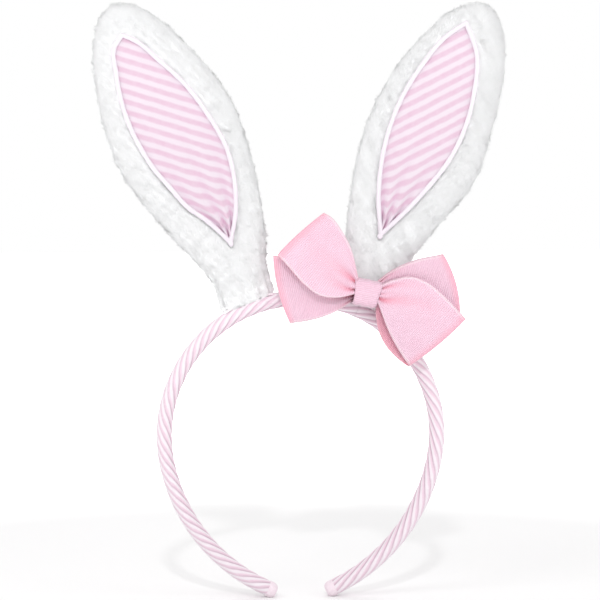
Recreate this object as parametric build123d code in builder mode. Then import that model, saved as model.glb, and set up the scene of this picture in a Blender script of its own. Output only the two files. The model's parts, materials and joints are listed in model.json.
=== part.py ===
# Bunny ears headband: a springy hoop wound with striped cloth, two wired plush ears with
# striped linings, and a ribbon bow beside the right ear.
# The hoop lies in the XZ plane and opens downwards, the wearer looks along -Y, +Z is up,
# and the origin is the centre of the round part of the hoop.
# Angles along the hoop are counted from its crown, clockwise as seen from the front.
import os
from math import cos, radians, sin

from build123d import *

# hoop, in millimetres and degrees
head_radius = 60.0
band_thickness = 6.5
band_width = 9.0
band_corner = 2.2
core_thickness = 3.2
core_width = 5.6
core_corner = 1.2
round_end = 102.0
leg_radius = 83.0
leg_turn = 54.0
flex_angle = 42.0
squeeze_angle = 4.5
flex_gap = 0.2
relief_lead = 1.0
cap_length = 2.0
cap_overhang = 0.2
cap_rounding = 1.2

mid_radius = head_radius + band_thickness / 2
outer_radius = head_radius + band_thickness

# ears: height above the hoop, half width and half depth of each cross-section
ear_stations = [
    (-1.0, 13.6, 5.0),
    (12.0, 14.2, 5.5),
    (26.0, 18.6, 6.8),
    (42.0, 23.4, 8.2),
    (60.0, 27.9, 9.4),
    (80.0, 30.4, 10.0),
    (100.0, 28.4, 9.6),
    (118.0, 24.0, 8.6),
    (134.0, 16.6, 7.2),
    (145.0, 9.6, 5.2),
    (150.0, 4.0, 2.6),
]
plush_thickness = 2.5
lining_thickness = 1.2
piping_width = 3.2
piping_rise = 0.8
seam_depth = 1.0
saddle_radius = 5.4
pad_thickness = 0.8
pad_width = 6.0
pad_half_angle = 10.5
wire_radius = 0.8
wire_inset = 9.0
wire_start = 3.0
wire_bend = 9.0
front_reach = 20.0
ear_reach = 250.0

# each ear: place on the hoop, sideways shift and lean of its middle line, and its lining's
# lower tip, upper tip and widest points (sideways, height)
ears = {
    "left": {
        "angle": -22.0,
        "shift": 2.6,
        "lean": -0.052,
        "lining": [(2.6, 26.0), (-7.1, 136.0), (-21.2, 94.0), (18.6, 70.0)],
    },
    "right": {
        "angle": 24.0,
        "shift": -1.4,
        "lean": -0.012,
        "lining": [(-4.1, 31.0), (-8.2, 139.0), (-23.0, 90.0), (12.2, 88.0)],
    },
}

# bow: the knot's centre and tilt, the ribbon, and the two layers of loops
knot_centre = (28.2, 66.3)
knot_tilt = 10.0
knot_length = 12.5
knot_height = 11.6
knot_front = -19.5
knot_back = -6.7
knot_corner = 2.6
ribbon_thickness = 1.0
knot_wall = 1.2
thread_thickness = 0.8
thread_length = 3.0
root_half = 3.3
root_depth = 1.3
mouth_half = 4.4
fold_radius = 2.6
root_gap = 0.2
loop_reach = 40.0
bow_reach = 30.0
# felt strip: stuck on the band beside the knot, and thinner where it runs on behind the knot
backing_angle = 12.0
backing_half_width = 2.6
backing_half_foot = 4.5
backing_thickness = 0.9
# each loop: its fold's two ends in the knot's frame (sideways, up), and its layer's middle depth
back_layer = -10.8
front_layer = -16.1
bow_loops = {
    "bow_loop_upper_left": ((-43.3, 10.4), (-26.4, 32.2), front_layer),
    "bow_loop_lower_left": ((-44.8, 9.0), (-31.7, -20.0), back_layer),
    "bow_loop_upper_right": ((31.4, 23.6), (46.6, -3.7), back_layer),
    "bow_loop_lower_right": ((46.8, -3.7), (29.6, -27.6), front_layer),
}


def hoop_point(angle, radius):
    """Place in the hoop's plane at an angle from the crown, as (x, z)."""
    return (radius * sin(radians(angle)), radius * cos(radians(angle)))


def across_band(centre, angle):
    """Plane square to the hoop: x along +Y, y away from the arc's centre."""
    turn = radians(angle)
    return Plane(origin=(centre[0], 0, centre[1]), x_dir=(0, 1, 0), z_dir=(cos(turn), 0, -sin(turn)))


def write(part, label):
    part.label = label
    export_step(part, f"parts/{label}.step")


def band_arc(centre, radius, start, end, core_only):
    """A stretch of the band's core, or of its cloth cover, turned about an arc's centre."""
    with BuildPart() as stretch:
        with BuildSketch(across_band(centre, start)):
            with Locations((0, radius)):
                if core_only:
                    RectangleRounded(core_width, core_thickness, core_corner)
                else:
                    RectangleRounded(band_width, band_thickness, band_corner)
                    RectangleRounded(core_width, core_thickness, core_corner, mode=Mode.SUBTRACT)
        revolve(axis=Axis((centre[0], 0, centre[1]), (0, 1, 0)), revolution_arc=end - start)
    return stretch.part


hoop_centre = (0.0, 0.0)
band_layers = {"core": True, "wrap": False}

# the crown of the hoop, between the two places where it flexes
for layer, core_only in band_layers.items():
    with BuildPart() as crown_band:
        add(band_arc(hoop_centre, mid_radius, -flex_angle, flex_angle, core_only))
    write(crown_band.part, f"band_{layer}_crown")

# the legs: the round part down to round_end, then a wider arc to the tip
for side, word in ((-1, "left"), (1, "right")):
    leg_centre = hoop_point(side * round_end, mid_radius - leg_radius)
    tip_angle = round_end + leg_turn
    round_span = sorted((side * flex_angle, side * round_end))
    tip_span = sorted((side * round_end, side * tip_angle))

    # relief behind the flexing line, so that the leg can be squeezed inwards
    inner_gap = flex_gap + 2 * band_thickness * sin(radians(squeeze_angle))
    relief_depth = 2 * band_thickness
    at_crown = Vector(*hoop_point(side * flex_angle, outer_radius))
    inwards = Vector(*hoop_point(side * flex_angle, -1))
    along = Vector(*hoop_point(side * flex_angle + side * 90, 1))
    relief_points = [
        at_crown - inwards * relief_lead,
        at_crown + inwards * relief_depth,
        at_crown + inwards * relief_depth + along * inner_gap,
        at_crown + along * flex_gap,
        at_crown - inwards * relief_lead + along * flex_gap,
    ]

    for layer, core_only in band_layers.items():
        with BuildPart() as leg_band:
            add(band_arc(hoop_centre, mid_radius, *round_span, core_only))
            add(band_arc(leg_centre, leg_radius, *tip_span, core_only))
            with BuildSketch(Plane.XZ):
                with BuildLine():
                    Polyline(*[(point.X, point.Y) for point in relief_points], close=True)
                make_face()
            extrude(amount=band_width, both=True, mode=Mode.SUBTRACT)
        write(leg_band.part, f"band_{layer}_leg_{word}")

    with BuildPart() as tip_cap:
        with BuildSketch(across_band(leg_centre, side * tip_angle)):
            with Locations((0, leg_radius)):
                RectangleRounded(
                    band_width + 2 * cap_overhang,
                    band_thickness + 2 * cap_overhang,
                    band_corner + cap_overhang,
                )
        extrude(amount=side * cap_length)
        tip_way = hoop_point(side * (tip_angle + 90), 1)
        end_face = tip_cap.faces().sort_by(Axis((0, 0, 0), (tip_way[0], 0, tip_way[1])))[-1]
        fillet(end_face.edges(), cap_rounding)
    write(tip_cap.part, f"tip_cap_{word}")


# the ears
for word, ear in ears.items():
    base = hoop_point(ear["angle"], outer_radius)
    turn = radians(ear["angle"])
    sideways = (cos(turn), 0, -sin(turn))
    upwards = (sin(turn), 0, cos(turn))
    ear_front = Plane(origin=(base[0], 0, base[1]), x_dir=sideways, z_dir=(0, -1, 0))

    def middle(height):
        return ear["shift"] + ear["lean"] * height

    def ear_form(inset):
        """The stuffed ear's outer form, drawn in by an inset all over."""
        with BuildPart() as form:
            for height, half_width, half_depth in ear_stations:
                level = height if height < ear_stations[-2][0] else height - inset
                centre = ear_front.from_local_coords((middle(height), level, 0))
                with BuildSketch(Plane(origin=centre, x_dir=sideways, z_dir=upwards)):
                    Ellipse(max(half_width - inset, 0.8), max(half_depth - inset, 0.5))
            loft()
        return form.part

    def lining_prism(inset, depth):
        """A straight prism towards the front on the lining's leaf outline, drawn in by an inset."""
        lower, upper, left, right = ear["lining"]
        with BuildPart() as prism:
            with BuildSketch(ear_front):
                with BuildLine():
                    ThreePointArc(lower, left, upper)
                    ThreePointArc(upper, right, lower)
                make_face()
                if inset:
                    offset(amount=-inset, mode=Mode.REPLACE)
            extrude(amount=depth)
        return prism.part

    # room for the hoop under the ear, round the line that the ear bends about
    with BuildPart() as saddle:
        with BuildSketch(across_band(hoop_centre, ear["angle"])):
            with Locations((0, mid_radius)):
                Circle(saddle_radius)
        extrude(amount=2 * ear_stations[0][1], both=True)

    outer_form = ear_form(0)
    cavity_form = ear_form(plush_thickness)
    lining_form = ear_form(plush_thickness - lining_thickness)
    piping_form = ear_form(-piping_rise)
    whole_lining = lining_prism(0, front_reach)
    inner_lining = lining_prism(piping_width, front_reach)
    with BuildPart() as front_half:
        with BuildSketch(Plane.XZ.offset(seam_depth)):
            Circle(ear_reach)
        extrude(amount=front_reach)

    with BuildPart() as ear_back:
        add(outer_form)
        add(cavity_form, mode=Mode.SUBTRACT)
        add(saddle.part, mode=Mode.SUBTRACT)
        add(front_half.part, mode=Mode.SUBTRACT)
    write(ear_back.part, f"ear_back_{word}")

    with BuildPart() as ear_border:
        add(outer_form)
        add(cavity_form, mode=Mode.SUBTRACT)
        add(saddle.part, mode=Mode.SUBTRACT)
        add(front_half.part, mode=Mode.INTERSECT)
        add(whole_lining, mode=Mode.SUBTRACT)
    write(ear_border.part, f"ear_border_{word}")

    with BuildPart() as ear_lining:
        add(lining_form)
        add(cavity_form, mode=Mode.SUBTRACT)
        add(inner_lining, mode=Mode.INTERSECT)
    write(ear_lining.part, f"ear_lining_{word}")

    with BuildPart() as ear_piping:
        add(piping_form)
        add(cavity_form, mode=Mode.SUBTRACT)
        add(whole_lining, mode=Mode.INTERSECT)
        add(inner_lining, mode=Mode.SUBTRACT)
    write(ear_piping.part, f"ear_piping_{word}")

    # one wire up one side of the ear, over the top and down the other side
    wire_sides = []
    for sign in (-1, 1):
        run = [(middle(wire_start) + sign * (ear_stations[0][1] - wire_inset), wire_start)]
        for height, half_width, half_depth in ear_stations[2:-2:2]:
            run.append((middle(height) + sign * (half_width - wire_inset), height))
        wire_sides.append(run)
    wire_points = wire_sides[0] + list(reversed(wire_sides[1]))
    with BuildPart() as ear_wire:
        with BuildLine(ear_front) as wire_path:
            FilletPolyline(*wire_points, radius=wire_bend)
        start_point = wire_path.line @ 0
        start_way = wire_path.line % 0
        with BuildSketch(Plane(origin=start_point, z_dir=start_way)):
            Circle(wire_radius)
        sweep(path=wire_path.line)
    write(ear_wire.part, f"ear_wire_{word}")

    with BuildPart() as ear_filling:
        add(cavity_form)
        add(ear_wire.part, mode=Mode.SUBTRACT)
        add(saddle.part, mode=Mode.SUBTRACT)
    write(ear_filling.part, f"ear_filling_{word}")

    with BuildPart() as ear_pad:
        with BuildSketch(across_band(hoop_centre, ear["angle"] - pad_half_angle)):
            with Locations((0, outer_radius + pad_thickness / 2)):
                Rectangle(pad_width, pad_thickness)
        revolve(axis=Axis.Y, revolution_arc=2 * pad_half_angle)
    write(ear_pad.part, f"ear_pad_{word}")


# the bow, in the knot's own tilted frame
tilt = radians(knot_tilt)
bow_sideways = (cos(tilt), 0, -sin(tilt))
bow_upwards = (sin(tilt), 0, cos(tilt))
bow_front = Plane(origin=(knot_centre[0], 0, knot_centre[1]), x_dir=bow_sideways, z_dir=(0, -1, 0))
knot_section = Plane(origin=bow_front.origin, x_dir=(0, 1, 0), z_dir=bow_sideways)
knot_middle = (knot_front + knot_back) / 2
knot_depth = knot_back - knot_front


def knot_ring(length, wall, shrink):
    """A rounded square ring round the gathered middle of the ribbon."""
    depth = knot_depth - 2 * shrink
    height = knot_height - 2 * shrink
    corner = knot_corner - shrink
    with BuildPart() as ring:
        with BuildSketch(knot_section):
            with Locations((knot_middle, 0)):
                RectangleRounded(depth, height, corner)
                RectangleRounded(depth - 2 * wall, height - 2 * wall, max(corner - wall, 0.4), mode=Mode.SUBTRACT)
        extrude(amount=length / 2, both=True)
    return ring.part


write(knot_ring(knot_length, knot_wall, 0), "bow_knot")
write(knot_ring(thread_length, thread_thickness, knot_wall), "bow_thread")

for name, (fold_start, fold_end, layer) in bow_loops.items():
    side = 1 if fold_start[0] > 0 else -1
    fold_middle = ((fold_start[0] + fold_end[0]) / 2, (fold_start[1] + fold_end[1]) / 2)
    reach = (fold_middle[0] ** 2 + fold_middle[1] ** 2) ** 0.5
    way = (fold_middle[0] / reach, fold_middle[1] / reach)
    loop_way = bow_front.from_local_coords((way[0], way[1], 0)) - bow_front.origin
    loop_section = Plane(origin=bow_front.origin, x_dir=loop_way, z_dir=loop_way.cross(Vector(0, 1, 0)))

    with BuildPart() as bow_loop:
        # the ribbon from the side: two layers that part towards a round fold
        with BuildSketch(loop_section):
            with BuildLine():
                Polyline(
                    (reach - fold_radius, layer - fold_radius),
                    (knot_length, layer - root_depth),
                    (0, layer - root_depth),
                    (0, layer + root_depth),
                    (knot_length, layer + root_depth),
                    (reach - fold_radius, layer + fold_radius),
                )
                ThreePointArc(
                    (reach - fold_radius, layer + fold_radius),
                    (reach, layer),
                    (reach - fold_radius, layer - fold_radius),
                )
            make_face()
            offset(amount=-ribbon_thickness, mode=Mode.SUBTRACT)
        extrude(amount=loop_reach, both=True)
        # the loop from the front: gathered at the knot, as wide as the ribbon at the fold
        with BuildSketch(bow_front):
            with BuildLine():
                Polyline(
                    (side * root_gap, -root_half),
                    (side * knot_length / 2, -mouth_half),
                    fold_end if fold_end[1] < fold_start[1] else fold_start,
                    fold_start if fold_end[1] < fold_start[1] else fold_end,
                    (side * knot_length / 2, mouth_half),
                    (side * root_gap, root_half),
                    close=True,
                )
            make_face()
        extrude(amount=bow_reach, both=True, mode=Mode.INTERSECT)
    write(bow_loop.part, name)

# felt backing, from the band's front to behind the knot
with BuildPart() as bow_backing:
    foot = Vector(*hoop_point(backing_angle, mid_radius))
    onwards = (Vector(*knot_centre) - foot).normalized() * backing_half_foot
    across = Vector(-onwards.Y, onwards.X).normalized() * backing_half_width
    strip_end = Vector(*knot_centre) + onwards
    for far_end, thickness in (
        (strip_end, backing_thickness),
        (foot + onwards, -knot_back - band_width / 2),
    ):
        near_end = foot - onwards
        corners = [near_end - across, far_end - across, far_end + across, near_end + across]
        with BuildSketch(Plane.XZ.offset(-knot_back)):
            with BuildLine():
                Polyline(*[(corner.X, corner.Y) for corner in corners], close=True)
            make_face()
        extrude(amount=-thickness)
write(bow_backing.part, "bow_backing")
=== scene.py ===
import json

import bmesh
import bpy
import numpy as np
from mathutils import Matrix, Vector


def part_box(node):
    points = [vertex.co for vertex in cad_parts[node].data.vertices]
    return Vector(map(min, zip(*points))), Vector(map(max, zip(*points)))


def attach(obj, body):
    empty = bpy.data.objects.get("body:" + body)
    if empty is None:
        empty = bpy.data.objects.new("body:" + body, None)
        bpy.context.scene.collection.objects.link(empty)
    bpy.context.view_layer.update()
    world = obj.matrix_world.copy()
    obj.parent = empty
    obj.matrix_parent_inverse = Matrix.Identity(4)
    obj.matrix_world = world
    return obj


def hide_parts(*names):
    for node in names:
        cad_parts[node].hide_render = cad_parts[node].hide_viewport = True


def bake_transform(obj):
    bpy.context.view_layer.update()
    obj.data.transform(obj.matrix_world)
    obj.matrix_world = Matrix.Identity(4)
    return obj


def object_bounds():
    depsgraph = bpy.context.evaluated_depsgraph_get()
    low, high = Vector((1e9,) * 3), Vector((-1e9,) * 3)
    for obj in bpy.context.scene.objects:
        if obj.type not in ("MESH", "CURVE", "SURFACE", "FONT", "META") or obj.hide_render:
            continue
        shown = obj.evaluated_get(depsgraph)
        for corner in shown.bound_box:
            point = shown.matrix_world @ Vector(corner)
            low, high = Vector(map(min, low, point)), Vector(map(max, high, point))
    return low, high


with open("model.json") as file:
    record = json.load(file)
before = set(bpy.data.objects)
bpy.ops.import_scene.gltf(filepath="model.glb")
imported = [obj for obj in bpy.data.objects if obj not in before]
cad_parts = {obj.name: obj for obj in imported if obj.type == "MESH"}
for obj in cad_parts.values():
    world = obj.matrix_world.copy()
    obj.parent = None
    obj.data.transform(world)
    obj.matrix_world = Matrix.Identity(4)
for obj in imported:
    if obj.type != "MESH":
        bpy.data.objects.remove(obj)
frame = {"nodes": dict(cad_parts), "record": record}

mm = 0.001
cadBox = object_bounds()
scene = bpy.context.scene
joints = {joint["name"]: joint for joint in frame["record"]["behaviour"]["joints"]}
towardsFront = np.array([0, -1.0, 0])
print("frame loaded")


def unit(vectors):
    # v / |v|
    return vectors / np.maximum(np.linalg.norm(vectors, axis=-1, keepdims=True), 1e-12)


def ease(values):
    # 3t^2 - 2t^3 for t held between 0 and 1
    t = np.clip(values, 0, 1)
    return t * t * (3 - 2 * t)


def smoothLine(points, t):
    # cubic Hermite curve through the points, t from 0 to 1 by chord length:
    # P = (2f^3-3f^2+1)p0 + (f^3-2f^2+f)h m0 + (3f^2-2f^3)p1 + (f^3-f^2)h m1
    p = np.asarray(points, float)
    p = p[:, None] if p.ndim == 1 else p
    t = np.asarray(t, float)
    step = np.linalg.norm(np.diff(p, axis=0), axis=1)
    knots = np.concatenate([[0], np.cumsum(step)]) / step.sum()
    slope = np.gradient(p, knots, axis=0)
    i = np.clip(np.searchsorted(knots, t, side="right") - 1, 0, len(p) - 2)
    gap = (knots[i + 1] - knots[i])[..., None]
    f = (t[..., None] - knots[i][..., None]) / gap
    return (
        (2 * f**3 - 3 * f**2 + 1) * p[i]
        + (f**3 - 2 * f**2 + f) * gap * slope[i]
        + (3 * f**2 - 2 * f**3) * p[i + 1]
        + (f**3 - f**2) * gap * slope[i + 1]
    )


def meshPiece(name, verts, faces, material, uv=None, slotName=None, fold=None):
    # one object at the origin from arrays; uv holds one pair for every face corner, and the shade values
    # say for every point how much painted shade its colour takes in creases, grooves and hollows, from 0 to 1
    mesh = bpy.data.meshes.new(name)
    mesh.from_pydata(np.asarray(verts).tolist(), [], faces)
    mesh.update()
    mesh.polygons.foreach_set("use_smooth", np.ones(len(mesh.polygons), bool))
    if uv is not None:
        layer = mesh.uv_layers.new(name="cloth")
        layer.data.foreach_set("uv", np.asarray(uv, np.float32).ravel())
    if fold is not None:
        depth = mesh.attributes.new("fold", "FLOAT", "POINT")
        depth.data.foreach_set("value", np.clip(fold, 0, 1).astype(np.float32).ravel())
    piece = bpy.data.objects.new(name, mesh)
    bpy.context.collection.objects.link(piece)
    mesh.materials.append(material)
    return piece


def readTriples(items, key, kind=np.float32):
    # one value of every vertex or triangle, three numbers each
    values = np.empty(len(items) * 3, kind)
    items.foreach_get(key, values)
    return values.reshape(-1, 3)


def gridPiece(
    name, points, uv=None, around=False, loop=False, capStart=False, capEnd=False, flip=False, **look
):
    # a surface on a grid of points[row, column]; around joins the last column to the first,
    # loop joins the last row to the first, and the caps close the first and last rows with a fan
    rows, cols = points.shape[:2]
    down, across = np.arange(rows if loop else rows - 1), np.arange(cols if around else cols - 1)
    i, j = (index.ravel() for index in np.meshgrid(down, across, indexing="ij"))
    corners = [(i, j), (i, j + 1), (i + 1, j + 1), (i + 1, j)]
    if flip:
        corners = corners[::-1]
    quads = np.stack([(a % rows) * cols + b % cols for a, b in corners], 1)
    verts, faces = points.reshape(-1, 3), quads.tolist()
    pairs = None if uv is None else np.stack([uv[a, b] for a, b in corners], 1).reshape(-1, 2)
    for wanted, row, forwards in ((capStart, 0, True), (capEnd, rows - 1, False)):
        if wanted:
            ring = row * cols + np.arange(cols)
            nextRing = row * cols + (np.arange(cols) + 1) % cols
            centre = np.full(cols, len(verts))
            verts = np.vstack([verts, points[row].mean(0)])
            first, second = (nextRing, ring) if forwards != flip else (ring, nextRing)
            faces += np.stack([first, second, centre], 1).tolist()
            if uv is not None:
                middle = uv[row, :cols].mean(0)
                fan = np.broadcast_to(middle, (cols, 3, 2)).copy()
                fan[:, 0], fan[:, 1] = uv[row, first - row * cols], uv[row, second - row * cols]
                pairs = np.vstack([pairs, fan.reshape(-1, 2)])
    return meshPiece(name, verts, faces, uv=pairs, **look)


def outwards(piece):
    # faces pointing out of the shape all over
    shape = bmesh.new()
    shape.from_mesh(piece.data)
    bmesh.ops.recalc_face_normals(shape, faces=shape.faces)
    shape.to_mesh(piece.data)
    shape.free()


def finishWith(piece, kind, **values):
    modifier = piece.modifiers.new(kind.title(), kind)
    for key, value in values.items():
        setattr(modifier, key, value)


def newMaterial(name, colour, roughness, **sockets):
    # the material, its node tree and its shader; sockets are numbers set on the shader itself
    material = bpy.data.materials.new(name)
    material.use_nodes = True
    tree = material.node_tree
    shader = tree.nodes["Principled BSDF"]
    shader.inputs["Base Color"].default_value = (*colour, 1)
    shader.inputs["Roughness"].default_value = roughness
    for key, value in sockets.items():
        shader.inputs[key.replace("_", " ")].default_value = value
    material.diffuse_color = (*colour, 1)
    return material, tree, shader


def addNode(tree, kind, **inputs):
    node = tree.nodes.new(kind)
    for key, value in inputs.items():
        node.inputs[key.replace("_", " ")].default_value = value
    return node


def mathNode(tree, operation, *values):
    # each value is a number or a socket
    node = tree.nodes.new("ShaderNodeMath")
    node.operation = operation
    for socket, value in zip(node.inputs, values):
        if isinstance(value, (int, float)):
            socket.default_value = value
        else:
            tree.links.new(value, socket)
    return node.outputs[0]


def mixColours(tree, factor, first, second):
    # first where factor is 0, second where it is 1; each is a colour or a socket
    node = tree.nodes.new("ShaderNodeMix")
    node.data_type = "RGBA"
    tree.links.new(factor, node.inputs[0])
    for socket, value in ((node.inputs[6], first), (node.inputs[7], second)):
        if isinstance(value, tuple):
            socket.default_value = (*value, 1)
        else:
            tree.links.new(value, socket)
    return node.outputs[2]


def bumpFrom(tree, shader, height, strength, distance):
    node = addNode(tree, "ShaderNodeBump", Strength=strength, Distance=distance)
    tree.links.new(height, node.inputs["Height"])
    tree.links.new(node.outputs[0], shader.inputs["Normal"])


def objectNoise(tree, scale, detail=3.0):
    where = tree.nodes.new("ShaderNodeTexCoord")
    noise = addNode(tree, "ShaderNodeTexNoise", Scale=scale, Detail=detail)
    tree.links.new(where.outputs["Object"], noise.inputs["Vector"])
    return noise.outputs["Fac"]


def uvParts(tree):
    where = tree.nodes.new("ShaderNodeUVMap")
    where.uv_map = "cloth"
    split = tree.nodes.new("ShaderNodeSeparateXYZ")
    tree.links.new(where.outputs[0], split.inputs[0])
    return split.outputs[0], split.outputs[1]


def waveOf(tree, value, perUnit):
    # sin(2 pi k v)
    return mathNode(tree, "SINE", mathNode(tree, "MULTIPLY", value, 2 * np.pi * perUnit))


def foldTint(tree, colour, deep):
    # painted crease shade: the piece's own painted-shade value mixes the colour towards the deeper one,
    # standing for light caught in a crease that comes back deeper
    reader = tree.nodes.new("ShaderNodeAttribute")
    reader.attribute_name = "fold"
    return mixColours(tree, reader.outputs["Fac"], colour, deep)


plushLook = {
    "cloth": {"colour": (0.94, 0.94, 0.95), "roughness": 0.85, "sheen": 0.35, "greyed": 0.5, "bump": 0.15},
    "pile": {"colour": (0.99, 0.99, 0.995), "roughness": 0.8, "sheen": 0.3, "greyed": 0.4, "bump": 0},
    "shade": (0.955, 0.965, 0.97),
    "patchScale": 55.0,
    "tuftScale": 900.0,
}
clothLook = {  # what the two striped cloths share
    "roughness": 0.72,
    "wobble": 0.16,  # how far the stripes wander, in stripes
    "wobbleScale": 260.0,
    "patch": 0.55,
    "patchScale": 420.0,
    "weave": 0.10,
    "bump": 0.35,
    "bumpDepth": 0.00012,
}
liningLook = {
    "white": (0.665, 0.585, 0.645),
    "pink": (0.60, 0.41, 0.515),
    # deep: the colour of painted shade in the gathers and along the seam
    "deep": (0.52, 0.24, 0.41),
    "stripe": 0.00442,  # one pink and one white stripe, m
    "thread": 0.00055,
    "sharp": 1.7,
}
bandLook = {
    "white": (0.80, 0.735, 0.78),
    "pink": (0.74, 0.545, 0.64),
    # deep: the colour of painted shade in the grooves between strands
    "deep": (0.42, 0.29, 0.36),
    "stripe": 1.0,
    "thread": 0.0006,
    "sharp": 1.5,
}
ribbonLook = {
    "pink": (0.80, 0.575, 0.685),
    "deep": (0.73, 0.40, 0.52),
    # the colour of painted shade in creases, at the fold's turn and inside the loops
    "fold": (0.86, 0.30, 0.39),
    "edge": (0.82, 0.60, 0.68),
    "ribs": 1150.0,  # to the metre along the ribbon
    "strands": 2600.0,  # to the metre across it
    "patchScale": 120.0,
    "ribDepth": 0.3,
    "halfWidth": 0.016,
    "selvedge": 0.0148,  # the woven edge starts here, m from the middle
    "bump": 0.7,
    "bumpDepth": 0.00014,
}
pipingLook = {"white": (0.77, 0.72, 0.76), "thread": (0.66, 0.58, 0.69), "threads": 2200.0}


def plushMaterial(name, look):
    # white, greyer in soft patches and between the tufts: grey = greyed (patch + tuft / 2)
    colour = look["colour"]
    material, tree, shader = newMaterial(
        name, colour, look["roughness"], Sheen_Weight=look["sheen"], Sheen_Roughness=0.5
    )
    patch = objectNoise(tree, plushLook["patchScale"])
    tuft = objectNoise(tree, plushLook["tuftScale"], 2.0)
    grey = mathNode(tree, "MULTIPLY", mathNode(tree, "MULTIPLY_ADD", tuft, 0.5, patch), look["greyed"])
    tree.links.new(mixColours(tree, grey, colour, plushLook["shade"]), shader.inputs["Base Color"])
    if look["bump"]:
        bumpFrom(tree, shader, tuft, look["bump"], 0.0003)
    return material


def stripedMaterial(name, look, threadsAcross):
    # stripes across the map's first axis: s = clamp(sharp / 2 sin(2 pi u / stripe) + 1/2), paler and
    # stronger in patches, with woven threads both ways: weave = sin(warp) sin(weft)
    form = clothLook
    material, tree, shader = newMaterial(
        name, look["white"], form["roughness"], Sheen_Weight=0.2, Sheen_Roughness=0.4
    )
    across, along = uvParts(tree)
    drift = objectNoise(tree, form["wobbleScale"])
    wobble = mathNode(tree, "MULTIPLY_ADD", drift, form["wobble"] * look["stripe"], across)
    wave = waveOf(tree, wobble, 1 / look["stripe"])
    edge = mathNode(tree, "MULTIPLY_ADD", wave, look["sharp"] / 2, 0.5)
    stripe = mathNode(tree, "MINIMUM", mathNode(tree, "MAXIMUM", edge, 0.0), 1.0)
    warp = waveOf(tree, across, threadsAcross)
    weft = waveOf(tree, along, 1 / look["thread"])
    weave = mathNode(tree, "MULTIPLY", warp, weft)
    patch = objectNoise(tree, form["patchScale"])
    even = mathNode(tree, "MULTIPLY_ADD", patch, form["patch"], form["patch"])
    depth = mathNode(tree, "MULTIPLY_ADD", weave, form["weave"], even)
    pink = mathNode(tree, "MULTIPLY", stripe, depth)
    stripes = mixColours(tree, pink, look["white"], look["pink"])
    # painted shade: the piece's own shade value darkens the stripes towards deep in creases and grooves
    tree.links.new(foldTint(tree, stripes, look["deep"]), shader.inputs["Base Color"])
    gloss = mathNode(tree, "MULTIPLY_ADD", weave, 0.08, form["roughness"])
    tree.links.new(gloss, shader.inputs["Roughness"])
    height = mathNode(tree, "MULTIPLY_ADD", weave, 0.5, patch)
    bumpFrom(tree, shader, height, form["bump"], form["bumpDepth"])
    return material


def ribbonMaterial():
    # ribs across the ribbon, a smoother woven edge and a faint silky sheen
    look = ribbonLook
    material, tree, shader = newMaterial(
        "grosgrain pink", look["pink"], 0.42, Sheen_Weight=0.5, Sheen_Roughness=0.35
    )
    along, across = uvParts(tree)
    rib = waveOf(tree, along, look["ribs"])
    strand = waveOf(tree, across, look["strands"])
    patch = mathNode(tree, "MULTIPLY_ADD", objectNoise(tree, look["patchScale"]), 0.5, 0.1)
    tone = mathNode(tree, "MULTIPLY_ADD", rib, -look["ribDepth"], patch)
    ribbed = mixColours(tree, tone, look["pink"], look["deep"])
    offCentre = mathNode(tree, "ABSOLUTE", mathNode(tree, "SUBTRACT", across, look["halfWidth"]))
    selvedge = mathNode(tree, "GREATER_THAN", offCentre, look["selvedge"])
    edged = mixColours(tree, selvedge, ribbed, look["edge"])
    # painted shade: the piece's own shade value deepens the colour in creases and inside the loops
    tree.links.new(foldTint(tree, edged, look["fold"]), shader.inputs["Base Color"])
    tree.links.new(mathNode(tree, "MULTIPLY_ADD", rib, -0.10, 0.45), shader.inputs["Roughness"])
    height = mathNode(tree, "MULTIPLY_ADD", strand, 0.12, rib)
    bumpFrom(tree, shader, height, look["bump"], look["bumpDepth"])
    return material


def satinMaterial():
    # fine slanting threads with a soft gloss
    material, tree, shader = newMaterial("piping satin", pipingLook["white"], 0.4, Sheen_Weight=0.25)
    across, along = uvParts(tree)
    slant = mathNode(tree, "ADD", across, along)
    thread = waveOf(tree, slant, pipingLook["threads"])
    patch = objectNoise(tree, 300.0)
    tone = mathNode(tree, "MULTIPLY_ADD", thread, 0.12, mathNode(tree, "MULTIPLY", patch, 0.5))
    spun = mixColours(tree, tone, pipingLook["white"], pipingLook["thread"])
    tree.links.new(foldTint(tree, spun, pipingLook["thread"]), shader.inputs["Base Color"])
    bumpFrom(tree, shader, thread, 0.3, 0.00008)
    return material


def grainedMaterial(name, colour, darker, roughness, scale, depth, metallic=0.0):
    # plain stock with a fine grain
    material, tree, shader = newMaterial(name, colour, roughness, Metallic=metallic)
    grain = objectNoise(tree, scale)
    tree.links.new(mixColours(tree, grain, colour, darker), shader.inputs["Base Color"])
    tree.links.new(mathNode(tree, "MULTIPLY_ADD", grain, 0.15, roughness - 0.07), shader.inputs["Roughness"])
    bumpFrom(tree, shader, grain, 0.3, depth)
    return material


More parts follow.
